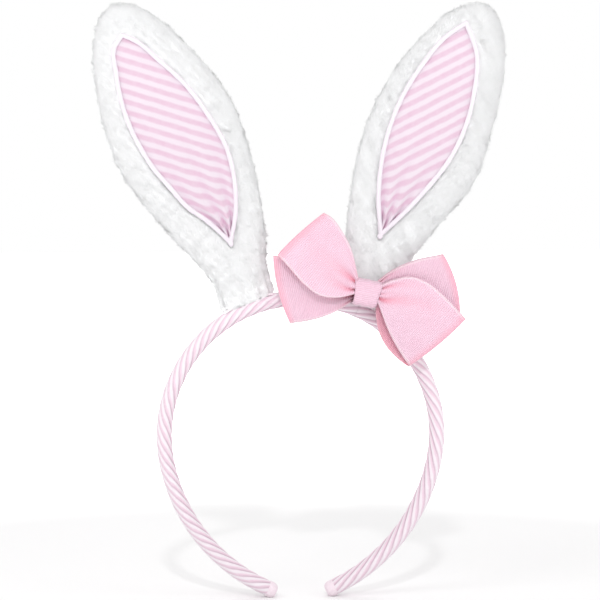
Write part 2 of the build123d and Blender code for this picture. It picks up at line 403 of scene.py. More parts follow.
plush = plushMaterial("plush white", plushLook["cloth"])
plushPile = plushMaterial("plush pile", plushLook["pile"])
liningStripes = stripedMaterial("lining stripes", liningLook, 1 / liningLook["thread"])
wrapStripes = stripedMaterial("band stripes", bandLook, 5.0)
grosgrain = ribbonMaterial()
satin = satinMaterial()
capCloth = grainedMaterial("cap cloth", (0.84, 0.77, 0.81), (0.78, 0.62, 0.70), 0.55, 900.0, 0.0001)
stockLooks = {
    "band_core": ("nylon", (0.90, 0.88, 0.85), (0.86, 0.84, 0.80), 0.4, 400.0, 0.00005),
    "ear_wire": ("annealed wire", (0.6, 0.6, 0.62), (0.5, 0.5, 0.52), 0.35, 800.0, 0.00003, 1.0),
    "ear_pad": ("felt white", (0.94, 0.88, 0.91), (0.88, 0.80, 0.84), 0.9, 1500.0, 0.0002),
    "bow_backing": ("felt pink", (0.92, 0.62, 0.70), (0.85, 0.50, 0.60), 0.9, 1500.0, 0.0002),
    "bow_thread": ("thread pink", (0.90, 0.45, 0.58), (0.84, 0.36, 0.50), 0.6, 2500.0, 0.0001),
}
for start, look in stockLooks.items():
    material = grainedMaterial(*look)
    for node in frame["nodes"]:
        if node.startswith(start):
            for place in bpy.data.objects[node].material_slots:
                place.material = material
print("materials made")


view = {
    "azimuth": -6.0, "elevation": 4.0, "distance": 1.3,
    "across": 0.276, "aimHeight": 0.0623, "aimSide": -0.0005,
}
light = {
    "sky": 0.78,
    "lamps": {  # place, size and power of each
        "key": ((-0.20, -1.70, 1.10), 0.11, 8.6),
        "fill": ((-0.9, -0.8, 1.2), 0.9, 4.5),
        "right fill": ((1.1, -0.9, 0.7), 0.9, 2.6),
        "back light": ((0.2, 1.3, 1.2), 0.9, 4.5),
    },
    "aim": (0, 0, 0.03),
    "floor": (0.80, 0.795, 0.797),
    # the floor glows: its emission rises from floorGlow at nearFloor to full white at farFloor
    "nearFloor": 0.27,  # the floor starts to brighten here, m from the middle
    "farFloor": 0.5,
    "floorGlow": 0.10,
}


def makeView():
    turn, rise = np.radians(view["azimuth"]), np.radians(view["elevation"])
    aim = np.array([view["aimSide"], 0, view["aimHeight"]])
    way = np.array([np.sin(turn) * np.cos(rise), -np.cos(turn) * np.cos(rise), np.sin(rise)])
    data = bpy.data.cameras.new("front view")
    data.sensor_width = 36.0
    data.lens = data.sensor_width * view["distance"] / view["across"]
    camera = bpy.data.objects.new("front view", data)
    camera.location = aim + way * view["distance"]
    camera.rotation_euler = (np.pi / 2 - rise, 0, turn)
    scene.collection.objects.link(camera)
    scene.camera = camera


def softLight(name, place, aim, size, power):
    data = bpy.data.lights.new(name, "AREA")
    data.shape, data.size, data.energy = "DISK", size, power
    lamp = bpy.data.objects.new(name, data)
    lamp.location = place
    away = np.array(place) - np.array(aim)
    lamp.rotation_euler = (np.arccos(away[2] / np.linalg.norm(away)), 0, np.arctan2(away[0], -away[1]))
    scene.collection.objects.link(lamp)


def makeStudio():
    world = bpy.data.worlds.new("white studio")
    world.use_nodes = True
    tree = world.node_tree
    shine = tree.nodes["Background"]
    shine.inputs["Color"].default_value = (1, 1, 1, 1)
    path = tree.nodes.new("ShaderNodeLightPath")
    seen = addNode(tree, "ShaderNodeMapRange", To_Min=light["sky"], To_Max=1.0)
    tree.links.new(path.outputs["Is Camera Ray"], seen.inputs["Value"])
    tree.links.new(seen.outputs[0], shine.inputs["Strength"])
    scene.world = world
    for name, (place, size, power) in light["lamps"].items():
        softLight(name, place, light["aim"], size, power)
    low, reach = cadBox[0][2], 3
    corners = [[[-reach, -reach, low], [reach, -reach, low]], [[-reach, reach, low], [reach, reach, low]]]
    # paper that glows, its emission rising to white away from the object as painted glow: r = |(x, y)|
    material, tree, shader = newMaterial("pale floor", light["floor"], 0.9)
    where = tree.nodes.new("ShaderNodeTexCoord")
    flat = tree.nodes.new("ShaderNodeVectorMath")
    flat.operation = "LENGTH"
    tree.links.new(where.outputs["Object"], flat.inputs[0])
    near, far, glow = light["nearFloor"], light["farFloor"], light["floorGlow"]
    spread = addNode(tree, "ShaderNodeMapRange", From_Min=near, From_Max=far, To_Min=glow, To_Max=1.0)
    spread.interpolation_type = "SMOOTHSTEP"
    tree.links.new(flat.outputs["Value"], spread.inputs["Value"])
    shader.inputs["Emission Color"].default_value = (1, 1, 1, 1)
    tree.links.new(spread.outputs[0], shader.inputs["Emission Strength"])
    floor = gridPiece("floor", np.array(corners, float), flip=True, material=material)


scene.view_settings.view_transform = "Standard"
makeView()
makeStudio()
print("camera, light and floor ready")


bandForm = {
    "radius": 63.25,  # middle line of the round part, mm
    "roundEnd": 102.0,  # degrees from the crown to where the legs open out
    "legRadius": 83.0,
    "legTurn": 54.0,
    "halfWidth": 4.5,
    "halfThickness": 3.5,
    "squareness": 0.85,
    "strands": 8,
    "spacingLeft": 5.9,  # mm of hoop from one strand to the next
    "spacingRight": 7.1,
    "pillow": 0.34,  # how far a strand's middle stands out
    "wander": 0.07,  # how unevenly the strands follow each other, in strands
    "wanderLength": 31.0,
    # groove: width of the painted shade line between strands
    "groove": 0.34,  # width of the dark line between strands
    "cloth": 0.5,
    "splitAngle": 24.0,  # the two windings meet under the bow
    "rowStep": 0.62,
    "around": 72,
}


def alongHoop(s):
    # s in mm from the crown, clockwise: angle = s / r on the round part, then
    # round end + (s - end) / leg radius about the leg's own centre
    form = bandForm
    side, run = np.sign(s), np.abs(s)
    roundRun = form["radius"] * np.radians(form["roundEnd"])
    onLeg = run > roundRun
    legAngle = np.radians(form["roundEnd"]) + (run - roundRun) / form["legRadius"]
    angle = side * np.where(onLeg, legAngle, run / form["radius"])
    radius = np.where(onLeg, form["legRadius"], form["radius"])
    shift = np.where(onLeg, form["radius"] - form["legRadius"], 0)
    endAngle = side * np.radians(form["roundEnd"])
    centre = shift[:, None] * np.stack([np.sin(endAngle), 0 * s, np.cos(endAngle)], 1)
    outward = np.stack([np.sin(angle), 0 * s, np.cos(angle)], 1)
    onward = np.stack([np.cos(angle), 0 * s, -np.sin(angle)], 1)
    return centre + radius[:, None] * outward, outward, onward


def hoopEnd():
    form = bandForm
    return form["radius"] * np.radians(form["roundEnd"]) + form["legRadius"] * np.radians(form["legTurn"])


def bandRing(turns):
    # rounded oblong section: (width sgn|cos|^k to the front, thickness sgn|sin|^k outwards)
    form = bandForm
    across, out = np.cos(turns), np.sin(turns)
    width = form["halfWidth"] * np.sign(across) * np.abs(across) ** form["squareness"]
    thick = form["halfThickness"] * np.sign(out) * np.abs(out) ** form["squareness"]
    return width, thick


def strandCount(s):
    # how many strands have passed: the integral of 1 / spacing, which changes over the crown
    form = bandForm
    line = np.linspace(-200, 200, 1601)
    spacing = form["spacingLeft"] + (form["spacingRight"] - form["spacingLeft"]) * ease((line + 25) / 50)
    total = np.concatenate([[0], np.cumsum((1 / spacing[1:] + 1 / spacing[:-1]) / 2 * np.diff(line))])
    return np.interp(s, line, total)


def woundCloth(name, start, end, seed):
    # strands wound round the hoop: section times 1 + pillow uneven (|sin(pi q)|^0.6 - 0.7) / thickness,
    # where q = strands passed - strands phi / 2 pi and phi goes round the section
    form = bandForm
    rows = int(round((end - start) / form["rowStep"])) + 1
    s = np.linspace(start, end, rows)
    turns = np.linspace(0, 2 * np.pi, form["around"] + 1)
    middle, outward = alongHoop(s)[:2]
    width, thick = bandRing(turns)
    wander = rippleField(np.stack([s, 0 * s, 0 * s], 1), seed, form["wanderLength"])[:, :1] * form["wander"]
    q = strandCount(s)[:, None] + wander - form["strands"] * turns / (2 * np.pi)
    ridge = np.abs(np.sin(np.pi * q))
    uneven = 1 + 0.25 * np.sin(np.floor(q) * 2.4 + seed)
    inner = ease((1 - np.sin(turns)) / 2)[None]      # the cloth bunches up on the inside of the curve
    crown = (ridge**0.6 - 0.7) * uneven * (0.7 + 0.6 * inner)
    swell = 1 + crown * form["pillow"] / form["halfThickness"]
    # painted shade: dark lines in the grooves between strands, stronger on the inner side of the hoop
    fold = np.exp(-((ridge / form["groove"]) ** 2)) * (0.12 + 0.75 * inner)
    ring = width[:, None] * towardsFront + thick[:, None] * outward[:, None]
    points = middle[:, None] + swell[..., None] * ring
    uv = np.stack(np.broadcast_arrays(q, s[:, None] * mm), -1)
    look = {"fold": fold[:, :-1], "material": wrapStripes, "slotName": "wrap_cloth"}
    piece = gridPiece(name, points[:, :-1] * mm, uv, around=True, **look)
    outwards(piece)
    finishWith(piece, "SOLIDIFY", thickness=form["cloth"] * mm, offset=-1.0)
    return piece


def rippleField(points, seed, wavelength, count=7):
    # three fields, each a sum of sin(2 pi p.d / wavelength + f) over seeded directions d and phases f
    chance = np.random.default_rng(seed)
    ways = unit(chance.normal(size=(count, 3)))
    phases = chance.uniform(0, 2 * np.pi, (3, count))
    waves = np.sin((2 * np.pi / wavelength) * (points @ ways.T)[:, None] + phases)
    return waves.sum(-1) / np.sqrt(count / 2)


splitRun = bandForm["radius"] * np.radians(bandForm["splitAngle"])


wraps = {
    "left": woundCloth("wound_cloth_left", -hoopEnd(), splitRun, 3),
    "right": woundCloth("wound_cloth_right", splitRun, hoopEnd(), 4),
}
for side, word in ((-1, "left"), (1, "right")):
    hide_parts(f"band_wrap_leg_{word}")
    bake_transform(wraps[word])
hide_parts("band_wrap_crown")

capForm = {
    "length": 3.1,  # mm past the hoop's end
    "lip": 0.06,
    "tuck": 1.4,
    "straight": 0.3,  # share of the cap before it rounds over
    "pucker": 0.012,
    "rows": [0, 0.12, 0.3, 0.5, 0.7, 0.84, 0.93, 0.98, 1.0],
    "around": 48,
}


def endCap(word, side):
    # a snug cloth cap: the hoop's section times sqrt(1 - q^2.4) + lip, q from 0 to 1 along the rounded part
    form = capForm
    middle, outward, onward = (values[0] for values in alongHoop(np.array([side * hoopEnd()])))
    t = np.array(form["rows"])
    reach = -form["tuck"] + (form["tuck"] + form["length"]) * ease(t)
    q = np.clip((t - form["straight"]) / (1 - form["straight"]), 0, 1)
    size = np.sqrt(np.maximum(1 - q**2.4, 0.02)) + form["lip"]
    turns = np.linspace(0, 2 * np.pi, form["around"], endpoint=False)
    width, thick = bandRing(turns)
    pucker = 1 + form["pucker"] * np.cos(12 * turns)
    ring = width[:, None] * towardsFront + thick[:, None] * outward
    points = middle + reach[:, None, None] * onward * side + (size[:, None] * pucker)[..., None] * ring
    look = {"material": capCloth, "slotName": "cap_cloth"}
    piece = gridPiece(f"end_cap_{word}", points * mm, around=True, capStart=True, capEnd=True, **look)
    outwards(piece)
    finishWith(piece, "SUBSURF", levels=1, render_levels=1)
    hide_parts(f"tip_cap_{word}")
    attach(piece, f"{word}_leg")


for side, word in ((-1, "left"), (1, "right")):
    endCap(word, side)
print("hoop wound and capped")


earLooks = {
    "left": {
        "leftEdge": [
            (-14.5, 0.2), (-12.6, 12.2), (-17.0, 26.5), (-22.5, 41.1), (-29.0, 60.6), (-32.6, 77.4),
            (-32.3, 94.2), (-29.5, 112.1), (-25.5, 126.6), (-20.5, 138.0), (-14.8, 146.1), (-6.5, 150.3),
        ],
        "rightEdge": [
            (14.7, -0.7), (15.9, 12.2), (20.5, 24.7), (24.3, 39.0), (27.1, 53.3), (29.3, 71.2),
            (29.5, 87.5), (25.7, 104.0), (19.2, 121.0), (13.5, 132.7), (6.5, 143.5), (-0.5, 148.6),
            (-6.5, 150.3),
        ],
        "liningLeft": [
            (2.6, 26.0), (-4.6, 41.3), (-10.4, 50.3), (-14.8, 62.5), (-18.2, 72.6), (-20.5, 85.9),
            (-21.0, 99.0), (-17.8, 119.1), (-13.6, 131.3), (-7.1, 135.8),
        ],
        "liningRight": [
            (2.6, 26.0), (11.6, 40.7), (16.0, 52.8), (18.5, 70.2), (16.4, 85.9), (11.9, 103.1),
            (4.7, 118.4), (-1.8, 130.4), (-7.1, 135.8),
        ],
        "stripeTurn": -39.0,
        "seed": 11,
    },
    "right": {
        "leftEdge": [
            (-12.7, 0.2), (-14.6, 12.0), (-21.9, 31.3), (-25.9, 45.3), (-29.8, 60.5), (-32.1, 78.1),
            (-31.6, 93.9), (-28.7, 112.1), (-23.3, 127.3), (-17.6, 139.4), (-11.3, 146.7), (-7.1, 149.6),
            (-0.9, 150.6),
        ],
        "rightEdge": [
            (13.5, 0.4), (14.0, 12.0), (16.6, 33.6), (20.2, 46.5), (24.2, 58.3), (27.5, 71.9),
            (27.6, 82.0), (26.1, 91.9), (22.5, 112.5), (17.9, 128.0), (12.2, 139.6), (6.2, 147.0),
            (-0.9, 150.6),
        ],
        "liningLeft": [
            (-4.7, 29.7), (-14.5, 48.6), (-19.4, 63.1), (-22.4, 79.4), (-22.6, 96.2), (-20.1, 112.1),
            (-15.7, 127.2), (-8.4, 139.0),
        ],
        "liningRight": [
            (-4.7, 29.7), (3.0, 47.9), (7.7, 62.1), (11.3, 76.7), (11.9, 94.6), (8.7, 111.9),
            (3.3, 126.3), (-8.4, 139.0),
        ],
        "stripeTurn": 51.0,
        "seed": 23,
    },
}
earForm = {
    "fullDepth": 8.6,  # half the thickness where the ear is widest, mm
    "widest": 31.0,
    "depthPower": 0.75,
    "inset": 1.7,  # the body stays inside the outline to leave room for the pile
    "rows": 60,
    "around": 56,
    "gatherDepth": 0.07,
    "gatherHeight": 10.0,
    "cap": 1.8,  # the filling moves the cloth by less than this
    "swellFrames": 20,
    "footLift": 3.25,  # the foot starts this far out from the ear's joint
    "hollow": 66.5,  # radius that the foot is hollowed to
    "seatHeight": 12.0,  # height over which the ear bends on its seam, mm
    "liningLift": 0.5,
    "sunk": 0.9,  # the body lies this much lower under the lining
}
fillingSettings = {
    "quality": 6,
    "mass": 0.15,
    "tension_stiffness": 12,
    "compression_stiffness": 12,
    "shear_stiffness": 5,
    "bending_stiffness": 0.5,
    "use_pressure": True,
    "uniform_pressure_force": 4.0,
    "vertex_group_mass": "hold",
}


def earAxes(word):
    # the ear's foot, sideways along its joint, and up away from the hoop's centre
    pivot = np.array(joints[f"{word}_ear_bend"]["pos_m"])
    up = unit(pivot)
    return pivot + up * earForm["footLift"] * mm, np.array([up[2], 0, -up[0]]), up


def earPlace(word, local):
    # (sideways, depth, height) from the foot in mm to the object's frame in m
    foot, side, up = earAxes(word)
    return foot + mm * (local[..., :1] * side - local[..., 1:2] * towardsFront + local[..., 2:] * up)


def earLocal(word, points):
    # the same the other way round
    foot, side, up = earAxes(word)
    away = (points - foot) / mm
    return np.stack([away @ side, away[..., 1], away @ up], -1)


def earChord(look, t):
    # middle and half chord between the two edges at t, and the half thickness there
    left, right = smoothLine(look["leftEdge"], t), smoothLine(look["rightEdge"], t)
    middle, half = (left + right) / 2, (right - left) / 2
    length = np.linalg.norm(half, axis=-1)
    depth = earForm["fullDepth"] * (length / earForm["widest"]) ** earForm["depthPower"]
    return middle, half, length, depth


def frontDepth(look, spots):
    # the chord through each (x, h) is found by halving on t; then u is the place along it
    # and the front lies at y = -depth sqrt(1 - u^2)
    low, high = np.zeros(spots.shape[:-1]), np.ones(spots.shape[:-1])
    for step in range(26):
        t = (low + high) / 2
        middle, half, length, depth = earChord(look, t)
        away = spots - middle
        above = half[..., 0] * away[..., 1] - half[..., 1] * away[..., 0] > 0
        low, high = np.where(above, t, low), np.where(above, high, t)
    u = (away * half).sum(-1) / np.maximum(length, 0.1) ** 2
    return -depth * np.sqrt(np.maximum(1 - u**2, 0.02))


def liningOutline(look, count=120, inset=0.0):
    # up the left side and down the right one, drawn in along its normals
    t = np.linspace(0, 1, count, endpoint=False)
    line = np.vstack([smoothLine(look["liningLeft"], t), smoothLine(look["liningRight"], 1 - t)])
    for step in range(3):
        line = (np.roll(line, 1, 0) + 2 * line + np.roll(line, -1, 0)) / 4
    way = unit(np.roll(line, -1, 0) - np.roll(line, 1, 0))
    inwards = np.stack([way[:, 1], -way[:, 0]], 1)
    return line + inset * inwards


def outlineGap(outline, spots):
    # distance to the nearest edge, negative inside, where a ray crosses the edges an odd number of times
    first, second = outline, np.roll(outline, -1, 0)
    edge = second - first
    away = spots[:, None] - first
    share = np.clip((away * edge).sum(-1) / (edge**2).sum(-1), 0, 1)
    gap = np.linalg.norm(away - share[..., None] * edge, axis=-1).min(1)
    crossing = (first[:, 1] > spots[:, None, 1]) != (second[:, 1] > spots[:, None, 1])
    rise = np.where(np.abs(edge[:, 1]) < 1e-9, 1e-9, edge[:, 1])
    reach = first[:, 0] + (spots[:, None, 1] - first[:, 1]) * edge[:, 0] / rise
    inside = (crossing & (spots[:, None, 0] < reach)).sum(1) % 2 == 1
    return np.where(inside, -gap, gap)


def earBody(word):
    # P(t, phi) = middle(t) + cos(phi) half(t) sideways, -sin(phi) depth(t) to the front; gathers
    # 1 + g exp(-h / height) (cos(11 phi) + cos(17 phi) / 2) pull in the foot, hollowed to sit on the hoop
    look, form = earLooks[word], earForm
    rowShare = np.linspace(0, 1, form["rows"])
    t = np.minimum(0.5 * rowShare + 0.5 * (1 - (1 - rowShare) ** 2), 0.9985)[:, None]
    phi = np.linspace(0, 2 * np.pi, form["around"], endpoint=False)[None]
    middle, half, length, depth = earChord(look, t)
    height = np.maximum(middle[..., 1], 0)
    fade = np.exp(-height / form["gatherHeight"])
    gather = 1 + form["gatherDepth"] * fade * (np.cos(11 * phi + look["seed"]) + 0.5 * np.cos(17 * phi))
    shrink = np.maximum(1 - form["inset"] / np.maximum(length, 0.1), 0.12) * gather
    flat = middle + (np.cos(phi) * shrink)[..., None] * half
    y = -np.sin(phi) * depth * np.maximum(1 - 0.5 * form["inset"] / form["fullDepth"], 0.1) * gather
    x, h = flat[..., 0], flat[..., 1] - form["inset"] * ease((t - 0.8) / 0.2)
    outline = liningOutline(look)
    gap = outlineGap(outline, np.stack([x.ravel(), h.ravel()], 1)).reshape(x.shape)
    within = ease(-gap / 3) * (y < 0)
    y = y + form["sunk"] * within
    h = h - fade * (x**2 / (2 * form["hollow"]) + np.abs(np.sin(phi)))
    points = earPlace(word, np.stack([x, y, h], -1))
    look = {"material": plush, "slotName": "plush"}
    piece = gridPiece(f"ear_plush_{word}", points, around=True, capStart=True, capEnd=True, **look)
    outwards(piece)
    hold = np.maximum(ease((14 - h) / 8), ease((2.5 - gap) / 3) * (y < 0)).ravel()
    return piece, np.concatenate([hold, [1, 0]])      # the foot's middle is held, the tip is free


def puffUp(bodies):
    # the sewn covers are blown up a little by their filling; the foot and the lining's place are held,
    # and a move of m is softened to cap tanh(m / cap)
    rests = {}
    for word, (piece, hold) in bodies.items():
        rests[word] = readTriples(piece.data.vertices, "co")
        group = piece.vertex_groups.new(name="hold")
        for level in range(1, 11):
            chosen = np.nonzero(np.round(hold * 10) == level)[0]
            group.add(chosen.tolist(), level / 10, "REPLACE")
        cloth = piece.modifiers.new("Filling", "CLOTH")
        for key, value in fillingSettings.items():
            setattr(cloth.settings, key, value)
        cloth.settings.effector_weights.gravity = 0
        cloth.collision_settings.use_collision = False
        cloth.point_cache.frame_start, cloth.point_cache.frame_end = 1, earForm["swellFrames"]
    for frameNumber in range(1, earForm["swellFrames"] + 1):
        scene.frame_set(frameNumber)
    for word, (piece, hold) in bodies.items():
        shown = piece.evaluated_get(bpy.context.evaluated_depsgraph_get())
        moved = readTriples(shown.data.vertices, "co") - rests[word]
        size = np.linalg.norm(moved, axis=1, keepdims=True)
        most, usual = size.max() / mm, np.median(size) / mm
        print(f"  {word} ear swells by up to {most:.1f} mm, {usual:.1f} mm in the middle")
        limit = earForm["cap"] * mm
        moved = moved * (limit * np.tanh(size / limit) / np.maximum(size, 1e-9))
        piece.modifiers.remove(piece.modifiers["Filling"])
        piece.data.vertices.foreach_set("co", (rests[word] + moved).astype(np.float32).ravel())
        piece.data.update()
        piece.vertex_groups.clear()
    scene.frame_set(1)


def smoothSurface(piece):
    # the piece's vertices, triangles and normals once it is subdivided
    shown = piece.evaluated_get(bpy.context.evaluated_depsgraph_get())
    mesh = shown.to_mesh()
    mesh.calc_loop_triangles()
    verts = readTriples(mesh.vertices, "co").astype(float)
    normals = readTriples(mesh.vertices, "normal").astype(float)
    triangles = readTriples(mesh.loop_triangles, "vertices", np.int32)
    shown.to_mesh_clear()
    return verts, triangles, normals


pileForm = {
    "tufts": 44000,
    "spare": 1.9,  # drawn for the front, as those under the lining are dropped
    "length": 2.0,  # mm
    "lengthSpread": 0.2,
    "thickness": 0.26,
    "root": 0.25,  # how deep a tuft starts under the cloth
    "lean": 2.7,
    "clump": 0.6,
    "clumpLengths": (7.0, 3.1),
    "stray": 0.28,
    "upright": 0.06,  # share of the tufts that stand up
    "edge": -0.2,  # where the pile begins, mm outside the piping's line
    "footShare": 0.45,  # tufts are this short at the foot, and full length from footReach up
    "footReach": 6.0,
    "seamShare": 0.75,  # tufts are this short within seamReach of the piping
    "seamReach": 1.5,
    "softness": 0.55,  # share of the cloth's own normal in a tuft's
}


def pilePiece(word, front, tufts):
    # tufts are three-sided spikes, base triangle to point: tip = p + L unit(n + nap laid on the cloth),
    # nap = lean up + clump field + stray
    look, form = earLooks[word], pileForm
    verts, triangles, normals = tufts
    chance = np.random.default_rng(look["seed"] + (5 if front else 6))
    corners = verts[triangles]
    cross = np.cross(corners[:, 1] - corners[:, 0], corners[:, 2] - corners[:, 0])
    facing = normals[triangles].mean(1)[:, 1] < 0
    area = np.linalg.norm(cross, axis=1) * (facing == front)
    count = int(form["tufts"] * (form["spare"] if front else 1.0))
    chosen = np.searchsorted(np.cumsum(area) / area.sum(), chance.random(count))
    chosen = np.minimum(chosen, len(triangles) - 1)
    share = chance.random((count, 2))
    share = np.where(share.sum(1, keepdims=True) > 1, 1 - share, share)
    weights = np.column_stack([1 - share.sum(1), share])[..., None]
    spots = (corners[chosen] * weights).sum(1)
    normal = unit((normals[triangles[chosen]] * weights).sum(1))
    local = earLocal(word, spots)
    if front:
        gap = outlineGap(liningOutline(look, 60), local[:, [0, 2]])
        keep = gap > form["edge"]
        spots, normal, local, gap = spots[keep], normal[keep], local[keep], gap[keep]
    else:
        gap = np.full(len(spots), 10.0)
    spots, normal, local, gap = (values[: form["tufts"]] for values in (spots, normal, local, gap))
    count = len(spots)
    coarse, finer = form["clumpLengths"]
    field = rippleField(local, look["seed"], coarse) + rippleField(local, look["seed"] + 1, finer)
    stray = chance.normal(size=(count, 3)) * form["stray"]
    nap = earAxes(word)[2] * form["lean"] + form["clump"] * field + stray
    nap = nap * np.where(chance.random((count, 1)) < form["upright"], 0.3, 1)
    nap = nap - (nap * normal).sum(1, keepdims=True) * normal
    length = form["length"] * (1 + form["lengthSpread"] * chance.uniform(-1, 1, count))
    grown = np.clip(local[:, 2] / form["footReach"], 0, 1)
    length = length * (form["footShare"] + (1 - form["footShare"]) * grown)
    length = length * np.where(gap < form["seamReach"], form["seamShare"], 1)
    way = unit(normal + nap)
    side = unit(np.cross(normal, chance.normal(size=(count, 3))))
    other = np.cross(normal, side)
    angles = np.radians([90, 210, 330])
    thick = form["thickness"] * (0.75 + 0.5 * chance.random(count)) * mm
    ring = np.cos(angles)[:, None] * side[:, None] + np.sin(angles)[:, None] * other[:, None]
    base = spots[:, None] - normal[:, None] * form["root"] * mm + ring * thick[:, None, None]
    tip = spots + way * (length * mm)[:, None]
    points = np.concatenate([base, tip[:, None]], 1).reshape(-1, 3)
    faces = (np.arange(count) * 4)[:, None, None] + np.array([[0, 2, 1], [0, 1, 3], [1, 2, 3], [2, 0, 3]])
    name = f"ear_pile_{'front' if front else 'back'}_{word}"
    piece = meshPiece(name, points, faces.reshape(-1, 3).tolist(), material=plushPile, slotName="plush")
    soft = unit(form["softness"] * normal + (1 - form["softness"]) * way)      # shades as one soft surface
    piece.data.normals_split_custom_set_from_vertices(np.repeat(soft, 4, axis=0).tolist())
    return piece


liningForm = {
    "rows": 150,
    "across": 64,
    "tuck": 1.2,  # the cloth's edge runs in under the piping, mm
    "gather": 1.4,  # depth of the gathers at the lower tip, and how far up they run
    "gatherReach": 17.0,
    "pucker": 0.3,  # depth of the puckers along the seam, their spacing and their reach
    "puckerStep": 5.3,
    "puckerReach": 3.5,
    "cloth": 0.35,
}
pipingForm = {"inset": 1.3, "halfWidth": 1.1, "halfHeight": 0.9, "lift": 1.0, "around": 14}


def liningCloth(word):
    # between the outline's sides: y = front - lift - gathers - puckers, with d the distance to the lower tip,
    # gathers = G exp(-d / reach) cos(6 pi v + drift) and, with e the distance to the seam,
    # puckers = p exp(-e / reach) cos(2 pi (d / step + v) + 2 sin(d / 11))
    look, form = earLooks[word], liningForm
    rowShare = np.linspace(0, 1, form["rows"])
    t = (0.03 + 0.94 * rowShare)[:, None]
    v = np.linspace(0, 1, form["across"])[None]
    left, right = smoothLine(look["liningLeft"], t), smoothLine(look["liningRight"], t)
    across = right - left
    width = np.linalg.norm(across, axis=-1, keepdims=True)
    draw = np.minimum(form["tuck"] / np.maximum(width, 0.1), 0.35)
    flat = left + across * (draw + (1 - 2 * draw) * v[..., None])
    y = frontDepth(look, flat) + earForm["sunk"] * 0.3 - earForm["liningLift"]
    far = np.linalg.norm(flat - np.array(look["liningLeft"][0]), axis=-1)
    drift = 0.9 * np.sin(far / 9 + look["seed"])
    gather = form["gather"] * np.exp(-far / form["gatherReach"]) * np.cos(6 * np.pi * v + drift)
    seamGap = np.minimum(v, 1 - v) * width[..., 0]
    nearSeam = np.exp(-seamGap / form["puckerReach"])
    turns = 2 * np.pi * (far / form["puckerStep"] + v) + 2 * np.sin(far / 11)
    pucker = form["pucker"] * nearSeam * np.cos(turns)
    spots = np.stack([flat[..., 0], 0 * y, flat[..., 1]], -1).reshape(-1, 3)
    soft = rippleField(spots, look["seed"] + 7, 23.0)[:, 0].reshape(y.shape) * 0.18
    y = y - gather - pucker - soft * (1 - nearSeam)
    turn = np.radians(look["stripeTurn"])
    stripe = -flat[..., 0] * np.sin(turn) + flat[..., 1] * np.cos(turn)
    thread = flat[..., 0] * np.cos(turn) + flat[..., 1] * np.sin(turn)
    uv = np.stack([stripe + 1.6 * gather, thread], -1) * mm
    hollows = np.clip(-gather / form["gather"], 0, 1)
    # painted shade: darker along the seam under the piping, in the gathers' hollows and near the lower tip
    fold = 0.42 * np.exp(-seamGap / 0.9) + 0.75 * hollows + 0.35 * np.exp(-far / 5.0)
    points = earPlace(word, np.stack([flat[..., 0], y, flat[..., 1]], -1))
    sewn = {"fold": fold, "material": liningStripes, "slotName": "lining_cloth"}
    piece = gridPiece(f"ear_striped_lining_{word}", points, uv, **sewn)
    finishWith(piece, "SOLIDIFY", thickness=form["cloth"] * mm, offset=0.0)
    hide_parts(f"ear_lining_{word}")
    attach(piece, f"{word}_ear")


def clothSize(points):
    # the area of a grid of points: half the diagonals' cross product, cell by cell
    first, second = points[1:, 1:] - points[:-1, :-1], points[1:, :-1] - points[:-1, 1:]
    return float(np.linalg.norm(np.cross(first, second), axis=-1).sum() / 2)


def pipingLoop(word):
    # a covered cord round the lining: section (a cos, b sin) carried round the outline, b towards the front
    look, form = earLooks[word], pipingForm
    flat = liningOutline(look, 170, form["inset"])
    y = frontDepth(look, flat) - form["lift"]
    path = np.stack([flat[:, 0], y, flat[:, 1]], 1)
    way = unit(np.roll(path, -1, 0) - np.roll(path, 1, 0))
    side = unit(np.cross(way, towardsFront))
    up = np.cross(side, way)
    turns = np.linspace(0, 2 * np.pi, form["around"] + 1)
    ring = np.stack([form["halfWidth"] * np.cos(turns), form["halfHeight"] * np.sin(turns)], 1)
    step = np.linalg.norm(np.roll(path, -1, 0) - path, axis=1)
    run = np.concatenate([[0], np.cumsum(step)])
    wave = 1 + 0.05 * np.sin(run[:-1] / 1.9) + 0.04 * np.sin(run[:-1] / 0.77)      # hand-sewn unevenness
    side, up = side * wave[:, None], up * wave[:, None]
    points = path[:, None] + ring[:-1, :1] * side[:, None] + ring[:-1, 1:] * up[:, None]
    uv = np.stack(np.broadcast_arrays(turns * form["halfWidth"], run[:, None]), -1) * mm
    cover = {"material": satin, "slotName": "piping_satin"}
    piece = gridPiece(f"ear_satin_piping_{word}", earPlace(word, points), uv, around=True, loop=True, **cover)
    outwards(piece)
    finishWith(piece, "SUBSURF", levels=1, render_levels=1)
    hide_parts(f"ear_piping_{word}")
    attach(piece, f"{word}_ear")


bodies = {word: earBody(word) for word in earLooks}
puffUp(bodies)
for word, (piece, hold) in bodies.items():
    finishWith(piece, "SUBSURF", levels=1, render_levels=1)
    surface = smoothSurface(piece)
    piles = [pilePiece(word, True, surface), pilePiece(word, False, surface)]
    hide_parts(f"ear_back_{word}", f"ear_border_{word}", f"ear_filling_{word}")
    for part in [piece, *piles]:
        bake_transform(part)
    liningCloth(word)
    pipingLoop(word)
    print(f"{word} ear stuffed, lined and piped")


